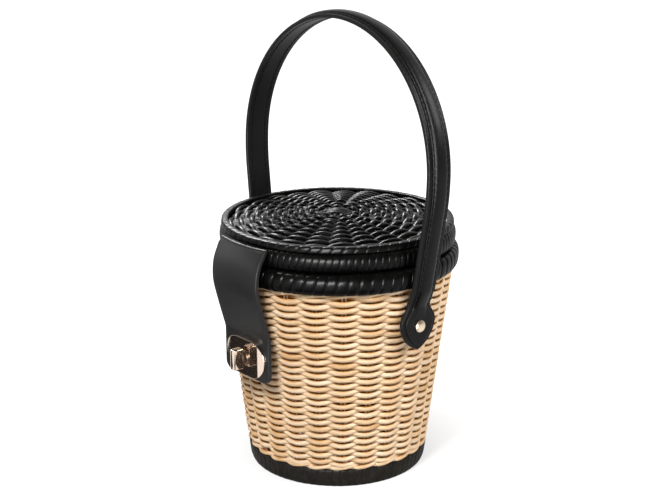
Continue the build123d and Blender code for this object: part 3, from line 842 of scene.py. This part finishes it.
# The thread pulls the roll in at each stitch
PUCKER = 4.4
pulled = 0.5 + 0.5 * np.cos(TAU * band.s / PUCKER)
roll = np.clip((band.level - 4.0) / 16.0, 0, 1)
roll = roll * roll * (3 - 2 * roll)
half = np.maximum(band.half - 0.06 * pulled * roll, 0.02)
edge_shares = np.array([0.68, 0.74, 0.78, 0.82, 0.88, 0.94, 0.985, 1])
shares = np.concatenate([-edge_shares[::-1], np.linspace(-0.6, 0.6, 13), edge_shares])
x = shares[None] * half[:, None]
distance = edge_distance(x, band.s, half)
flat = leather_profile(distance, COVER_THICK, crease=9.0, crease_depth=0.0, rounding=0.55)
flat = flat - 0.14 * np.exp(-(((distance - 1.6) / 0.35) ** 2)) * (1 - roll[:, None])
inside = np.clip(np.abs(x) / ROLL_HALF, 0, 1)
bulge = np.sqrt(np.maximum(1 - inside ** 2.4, 0))
dimple = 0.1 * pulled[:, None] * np.exp(-(((np.abs(x) - 5.3) / 1.0) ** 2))
rise = ROLL_HEIGHT + wander(len(band.s), 60, -0.08, 0.08)[:, None]
height = HANDLE_THICK + flat + roll[:, None] * (rise * bulge - dimple)
pile = Pile()
two_sided(pile, band.point(x, height), band.point(x, np.full(x.shape, HANDLE_THICK - 0.05)), distance, band.s)
cover = pile.build("handle_cover_padded", leather, "handle", sharp=60)
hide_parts("handle_cover")


def stitches(pile, band, offset, height, first, last, pitch, long, thick):
    """Short threads laid end to end along a seam, at an offset from the middle of the band."""
    for middle in np.arange(first, last, pitch):
        t = np.linspace(-0.5, 0.5, 7)
        at = middle + t * long
        centre = np.stack([np.interp(at, band.s, band.line[:, k]) for k in (0, 1)], -1)
        tangent = np.stack([np.interp(at, band.s, band.tangent[:, k]) for k in (0, 1)], -1)
        out = np.stack([tangent[:, 1], -tangent[:, 0]], -1)
        arc = height + thick * 0.9 * (1 - (2 * t) ** 4) - thick * 0.9
        place = centre + out * arc[:, None]
        points = lean(np.stack([place[:, 0], np.full(7, offset), place[:, 1]], -1))
        first_way = np.broadcast_to([0.0, 1.0, 0.0], points.shape)
        second_way = np.cross(first_way, tangents(points))
        pile.tube(points, first_way, second_way, thick, thick, 6, along=at[:, None])


SEAM, SEAM_ENDS, STITCH = 6.55, 33.0, 3.2
pile = Pile()
for side in (-1, 1):
    for height, thick in ((HANDLE_THICK + COVER_THICK, 0.32), (-0.12, 0.26)):
        stitches(pile, band, side * SEAM, height, SEAM_ENDS, band.length - SEAM_ENDS, PUCKER, STITCH, thick)
pile.build("handle_stitching", thread, "handle")


# Metal
def turned(name, profile, place, axis, count, material, body, slot):
    """A turned piece: radius and distance along an axis, from its inner end to its crown."""
    angle = np.arange(count) * TAU / count
    axis = np.array(axis, float)
    ring = UP * np.cos(angle)[:, None] + np.cross(axis, UP) * np.sin(angle)[:, None]
    radius, level = np.array(profile).T[:, :, None, None]
    points = np.array(place) + axis * level + ring[None] * radius
    pile = Pile()
    pile.grid(points, wrap_v=True, cap=True)
    return pile.build(name, material, body, sharp=40)


CAP_FOOT = TAB_REACH + HANDLE_THICK + 1.0 + 0.3
CAP_RIM = [(4.3, 0.0), (4.62, 0.15), (4.7, 0.45), (4.62, 0.75)]
CAP_DOME = [(4.5 * math.cos(t), 0.8 + 1.6 * math.sin(t)) for t in np.linspace(0.12, 1.45, 9)]
for side, node in ((1, "rivet_right"), (-1, "rivet_left")):
    low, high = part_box(node)
    inner = min(abs(low.x), abs(high.x)) / MM
    profile = [(1.6, inner), (2.0, inner + 0.4), (2.0, CAP_FOOT)]
    profile += [(radius, CAP_FOOT + level) for radius, level in CAP_RIM + CAP_DOME]
    centre = (0, 0, RIVET_HEIGHT)
    rivet = turned(node + "_domed", profile, centre, (side, 0, 0), 40, pale_gold, "basket", "rose_gold")
    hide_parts(node)


# The lock's plate is a long oval, flat in the middle and folded back beyond FOLD
PLATE_HALF, PLATE_RADIUS, PLATE_THICK, FOLD, FOLD_SLOPE = 9.0, 14.5, 2.6, 16.8, 0.2


def lock_vertex(edit, x, out, up):
    return edit.verts.new((x * MM, -out * MM, (LOCK_HEIGHT + up) * MM))


def bevelled(name, edit, edges, bevel, segments, material, body, sharp):
    bmesh.ops.bevel(
        edit, geom=edges, offset=bevel * MM, segments=segments, profile=0.5, affect="EDGES", clamp_overlap=True
    )
    mesh = bpy.data.meshes.new(name)
    edit.to_mesh(mesh)
    edit.free()
    return finish_mesh(mesh, material, body, sharp)


def solid(name, outline, heights, place, material, body, bevel, segments=3):
    """A plate from an outline and the height of its top at each point, faced towards -Y and bevelled."""
    edit = bmesh.new()
    lower = [lock_vertex(edit, x, place, up) for x, up in outline]
    upper = [lock_vertex(edit, x, place + height, up) for (x, up), height in zip(outline, heights)]
    edit.faces.new(lower[::-1])
    count = len(outline)
    for k in range(count):
        edit.faces.new((lower[k], lower[(k + 1) % count], upper[(k + 1) % count], upper[k]))
    folds = [k for k in range(count) if abs(abs(outline[k][0]) - FOLD) < 1e-6]
    if len(folds) == 4:
        edit.faces.new([upper[k] for k in range(folds[0], folds[1] + 1)])
        edit.faces.new([upper[k] for k in range(folds[2], folds[3] + 1)])
        middle = [upper[k % count] for k in range(folds[3], folds[0] + count + 1)]
        edit.faces.new(middle + [upper[k] for k in range(folds[1], folds[2] + 1)])
    else:
        edit.faces.new(upper)
    bmesh.ops.recalc_face_normals(edit, faces=edit.faces)
    sharp = [e for e in edit.edges if len(e.link_faces) == 2 and e.calc_face_angle() > math.radians(5.5)]
    return bevelled(name, edit, sharp, bevel, segments, material, body, 5)


def crowned_bar(name, half_wide, half_tall, depth, crown, front, material, body, bevel):
    """An upright bar whose front is a shallow arc."""
    edit = bmesh.new()
    section = [(half_wide * a, front - crown * a * a) for a in np.linspace(-1, 1, 11)]
    section = [(-half_wide, front - depth), *section, (half_wide, front - depth)]
    ends = [[lock_vertex(edit, x, out, up) for x, out in section] for up in (-half_tall, half_tall)]
    for end in ends:
        edit.faces.new(end)
    count = len(section)
    for k in range(count):
        edit.faces.new((ends[0][k], ends[0][(k + 1) % count], ends[1][(k + 1) % count], ends[1][k]))
    bmesh.ops.recalc_face_normals(edit, faces=edit.faces)
    sharp = [e for e in edit.edges if e.calc_face_angle() > math.radians(30)]
    return bevelled(name, edit, sharp, bevel, 4, material, body, 35)


plate_back = -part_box("lock_plate")[1].y / MM
QUARTER = math.pi / 2
fold_angle = QUARTER - math.asin((FOLD - PLATE_HALF) / PLATE_RADIUS)
arc = np.sort(np.concatenate([np.linspace(-QUARTER, QUARTER, 33), [fold_angle, -fold_angle]]))
outline = []
for side in (1, -1):
    for t in arc:
        outline.append((side * (PLATE_HALF + PLATE_RADIUS * math.cos(t)), side * PLATE_RADIUS * math.sin(t)))
outline = [(FOLD * np.sign(p[0]), p[1]) if abs(abs(p[0]) - FOLD) < 1e-3 else p for p in outline]
heights = [PLATE_THICK - max(0.0, abs(p[0]) - FOLD) * FOLD_SLOPE for p in outline]
plate = solid("lock_plate_polished", outline, heights, plate_back, rose_gold, "lid", 0.2)
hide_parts("lock_plate")
# The collar and, further on, the knob's neck are in the gold darkened as painted shade
collar = turned(
    "lock_collar",
    [(2.6, 1.0), (5.5, 1.0), (5.5, 3.2), (5.2, 3.55), (4.6, 3.6), (2.6, 3.6)],
    (0, -plate_back, LOCK_HEIGHT), (0, -1, 0), 40, painted_shade_gold, "lid", "rose_gold",
)
low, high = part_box("lock_knob")
knob_top = -low.y / MM
knob = crowned_bar(
    "lock_knob_polished", 3.0, 8.0, depth=8.6, crown=0.8, front=knob_top,
    material=rose_gold, body="turn_knob", bevel=0.45,
)
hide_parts("lock_knob")
outline = [(1.3, -6.5), (1.3, 6.5), (-1.3, 6.5), (-1.3, -6.5)]
tongue = solid("lock_tongue", outline, [1.0] * 4, -high.y / MM, rose_gold, "turn_knob", 0.2, 2)
knob_neck = turned(
    "lock_knob_neck",
    [(2.4, -9.3), (2.5, -9.0), (2.5, 0.0), (3.7, 0.0), (3.7, 1.7), (3.4, 2.1)],
    (0, -(knob_top - 10.2), LOCK_HEIGHT), (0, -1, 0), 32, painted_shade_gold, "turn_knob", "rose_gold",
)

# The solids that show as they are
for node in (
    "lock_backing", "lock_keeper", "keeper_backing",
    "rivet_bush_right", "rivet_bush_left", "rivet_washer_right", "rivet_washer_left",
):
    shown = frame["nodes"][node]
    shown.data.materials.clear()
    shown.data.materials.append(pale_gold)

# Floor, light and camera
edit = bmesh.new()
bmesh.ops.create_grid(edit, x_segments=8, y_segments=8, size=6.0)
mesh = bpy.data.meshes.new("floor")
edit.to_mesh(mesh)
edit.free()
floor = bpy.data.objects.new("floor", mesh)
scene.collection.objects.link(floor)
look = Shader("floor_white")
rays = look.node("ShaderNodeLightPath")
seen = look.math("MAXIMUM", rays.outputs["Is Camera Ray"], rays.outputs["Is Transmission Ray"])
seen = look.math("MULTIPLY_ADD", rays.outputs["Is Glossy Ray"], 0.4, seen)
look.set(Base_Color=(0.45, 0.45, 0.45, 1), Roughness=0.9, Specular_IOR_Level=0.0, Emission_Color=(1, 1, 1, 1))
# Its white is dimmer under and round the foot, where the shadow lies
reach = look.node("ShaderNodeVectorMath", {"operation": "LENGTH"}, Vector=look.place()).outputs["Value"]
look.set(Emission_Strength=look.math("MULTIPLY", seen, look.range(reach, 0.075, 0.22, 0.55, 1.0)))
mesh.materials.append(look.material)

# The world is white to the camera. In reflections the backdrop is white too, and the camera's side is dim
ROOM_LIGHT, BACKDROP_MORE, FRONT_LESS = 0.36, 0.64, -0.31
AZIMUTH = math.radians(49.7)
world = bpy.data.worlds.new("studio")
scene.world = world
world.use_nodes = True
nodes, links = world.node_tree.nodes, world.node_tree.links


def world_math(operation, *values):
    node = nodes.new("ShaderNodeMath")
    node.operation = operation
    for socket, value in zip(node.inputs, values):
        if isinstance(value, bpy.types.NodeSocket):
            links.new(value, socket)
        else:
            socket.default_value = value
    return node.outputs[0]


rays = nodes.new("ShaderNodeLightPath")
facing = nodes.new("ShaderNodeVectorMath")
facing.operation = "DOT_PRODUCT"
links.new(nodes.new("ShaderNodeTexCoord").outputs["Generated"], facing.inputs[0])
facing.inputs[1].default_value = (-math.sin(AZIMUTH), math.cos(AZIMUTH), 0.0)
behind = nodes.new("ShaderNodeMapRange")
links.new(facing.outputs["Value"], behind.inputs["Value"])
for key, number in zip(("From Min", "From Max", "To Min", "To Max"), (0.0, 0.6, FRONT_LESS, BACKDROP_MORE)):
    behind.inputs[key].default_value = number
seen = world_math("MAXIMUM", rays.outputs["Is Camera Ray"], rays.outputs["Is Transmission Ray"])
strength = world_math("MULTIPLY_ADD", seen, BACKDROP_MORE, ROOM_LIGHT)
strength = world_math("MULTIPLY_ADD", rays.outputs["Is Glossy Ray"], behind.outputs["Result"], strength)
background = nodes["Background"]
background.inputs["Color"].default_value = (1, 1, 1, 1)
links.new(strength, background.inputs["Strength"])


def around(azimuth, elevation, distance):
    """A place round the bag, with its azimuth counted as the camera's is."""
    a, e = math.radians(azimuth), math.radians(elevation)
    return distance * math.cos(e) * math.sin(a), -distance * math.cos(e) * math.cos(a), distance * math.sin(e)


# The lamps aim at the middle of the basket
AIM_HEIGHT = 0.15


def softbox(name, azimuth, elevation, distance, size, power, gloss, pieces=()):
    """An area light that faces the bag, for its gloss or for the light on it, and for all pieces or for those given."""
    light = bpy.data.lights.new(name, "AREA")
    light.shape = "RECTANGLE"
    light.size, light.size_y = size
    light.energy = power
    holder = bpy.data.objects.new(name, light)
    x, y, z = around(azimuth, elevation, distance)
    holder.location = (x, y, AIM_HEIGHT + z)
    holder.rotation_euler = (math.pi / 2 - math.radians(elevation), 0, math.radians(azimuth))
    holder.visible_diffuse, holder.visible_glossy = not gloss, gloss
    scene.collection.objects.link(holder)
    if pieces:
        lit = bpy.data.collections.new(name)
        for piece in pieces:
            lit.objects.link(piece)
        holder.light_linking.receiver_collection = lit


not_handle = bodies["basket"] + bodies["lid"] + bodies["turn_knob"]
not_lock = [piece for piece in not_handle if piece not in (plate, collar, knob, knob_neck, tongue)]
# Azimuth, elevation, distance, width and height, and watts
softbox("key", 24.0, 47.0, 1.6, (0.45, 0.35), 26.0, gloss=False)
softbox("side", 118.0, 30.0, 1.6, (0.25, 0.8), 17.0, gloss=False)
softbox("front_gloss", 38.0, 1.0, 1.6, (1.0, 0.5), 62.0, gloss=True)
softbox("left_gloss", -45.0, 14.0, 1.6, (0.9, 0.5), 5.0, gloss=True, pieces=not_lock)
softbox("back_gloss", 250.0, 40.0, 1.7, (0.6, 0.35), 48.0, gloss=True, pieces=not_handle)
softbox("top_gloss", 310.0, 60.0, 1.5, (0.4, 0.4), 14.0, gloss=True, pieces=not_handle)
softbox("handle_gloss", 66.0, 36.0, 1.5, (0.5, 1.3), 45.0, gloss=True, pieces=bodies["handle"])
softbox("arch_gloss", 138.0, 34.0, 1.6, (0.5, 0.9), 16.0, gloss=True, pieces=bodies["handle"])

# Dark cards on the floor, which show only in reflections, for the plate and the knob of the lock
look = Shader("card_dark")
look.set(Base_Color=(0.02, 0.018, 0.018, 1), Roughness=0.9, Specular_IOR_Level=0.0)
for name, azimuth, distance, half_wide, half_long in (
    ("dark_card_left", -58.0, 0.44, 0.1, 0.26),
    ("dark_card_front", 54.0, 0.4, 0.2, 0.3),
):
    edit = bmesh.new()
    bmesh.ops.create_grid(edit, x_segments=2, y_segments=6, size=1.0)
    bmesh.ops.scale(edit, vec=(half_wide, half_long, 1.0), verts=edit.verts)
    mesh = bpy.data.meshes.new(name)
    edit.to_mesh(mesh)
    edit.free()
    mesh.materials.append(look.material)
    card = bpy.data.objects.new(name, mesh)
    x, y, _ = around(azimuth, 0.0, distance)
    card.location = (x, y - 0.09, 0.003)
    card.rotation_euler = (0, 0, math.radians(azimuth))
    card.visible_camera = card.visible_diffuse = card.visible_shadow = False
    scene.collection.objects.link(card)

# The camera was fitted to the photo, in whose pixels the lens and the shift are given
PHOTO_WIDTH, FOCAL, SHIFT = 670, 1457.6, -2.6
EYE_DISTANCE, EYE_HEIGHT, EYE_PITCH = 1.1, 0.499, 0.29
camera = bpy.data.cameras.new("camera")
camera.sensor_fit = "HORIZONTAL"
camera.sensor_width = 36.0
camera.lens = camera.sensor_width * FOCAL / PHOTO_WIDTH
camera.shift_x = SHIFT / PHOTO_WIDTH
camera.clip_end = 50.0
eye = bpy.data.objects.new("camera", camera)
eye.location = (EYE_DISTANCE * math.sin(AZIMUTH), -EYE_DISTANCE * math.cos(AZIMUTH), EYE_HEIGHT)
eye.rotation_euler = (math.pi / 2 - EYE_PITCH, 0, AZIMUTH)
scene.collection.objects.link(eye)
scene.camera = eye
